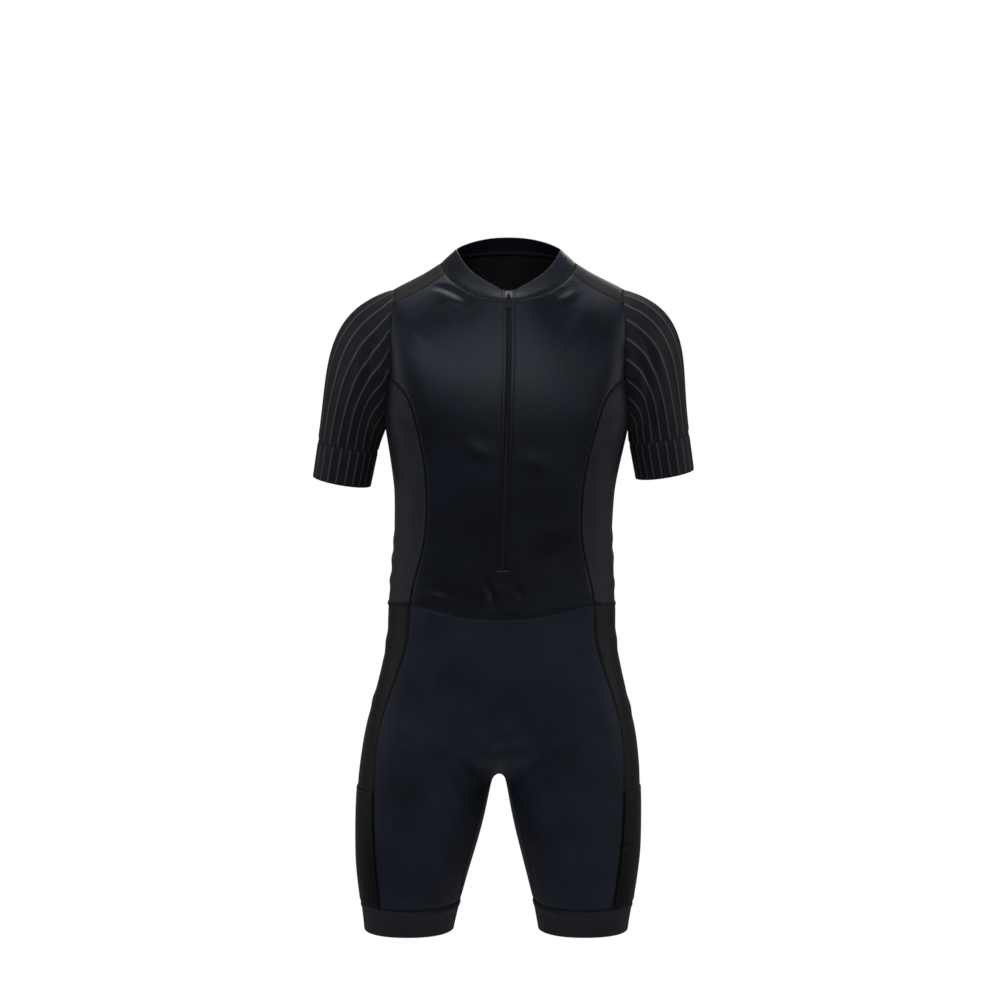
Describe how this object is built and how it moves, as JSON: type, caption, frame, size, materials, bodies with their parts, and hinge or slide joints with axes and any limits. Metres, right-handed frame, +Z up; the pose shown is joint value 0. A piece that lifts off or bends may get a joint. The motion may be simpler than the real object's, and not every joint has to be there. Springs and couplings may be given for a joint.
{
  "type": "short-sleeve triathlon suit",
  "caption": "One-piece short-sleeved race suit, worn shape: half front zip, ribbed sleeves, shaped side panels and knee-length shorts with elastic leg bands.",
  "frame": {"origin": "the middle of the neck opening, level with the tops of the shoulders at the side of the neck, where the shoulders carry the suit", "axes": "+X towards the wearer's left, +Y towards the back, so the zip faces -Y, +Z up"},
  "size_m": [0.5199, 0.2358, 0.9448],
  "materials": {
    "body_cloth": "satin stretch knit",
    "shoulder_mesh": "fine matte mesh",
    "sleeve_rib": "ribbed stretch knit",
    "shorts_cloth": "matte stretch knit",
    "thigh_side_cloth": "smooth stretch knit with a soft sheen",
    "leg_band_cloth": "matte elastic",
    "zip_tape": "woven tape with a nylon coil",
    "zip_metal": "black enamel"
  },
  "bodies": {
    "suit": {"front_panel": "body_cloth", "side_panel_left": "body_cloth", "side_panel_right": "body_cloth", "back_panel": "shoulder_mesh", "collar": "body_cloth", "sleeve_left": "sleeve_rib", "sleeve_right": "sleeve_rib", "cuff_left": "sleeve_rib", "cuff_right": "sleeve_rib", "shorts_front": "shorts_cloth", "shorts_seat": "shorts_cloth", "thigh_side_left": "thigh_side_cloth", "thigh_side_right": "thigh_side_cloth", "pocket_left": "thigh_side_cloth", "pocket_right": "thigh_side_cloth", "inner_leg_panel": "shorts_cloth", "leg_band_left": "leg_band_cloth", "leg_band_right": "leg_band_cloth", "zip_tape_left": "zip_tape", "zip_tape_right": "zip_tape", "zip_slider": "zip_metal"},
    "pull_tab": {"zip_pull": "zip_metal"}
  },
  "joints": [
    {"name": "pull_swing", "type": "hinge", "parent": "suit", "child": "pull_tab", "pos_m": [0.002, -0.07807, -0.04462], "axis": [-1, 0, 0], "range_deg": [0, 140]}
  ]
}
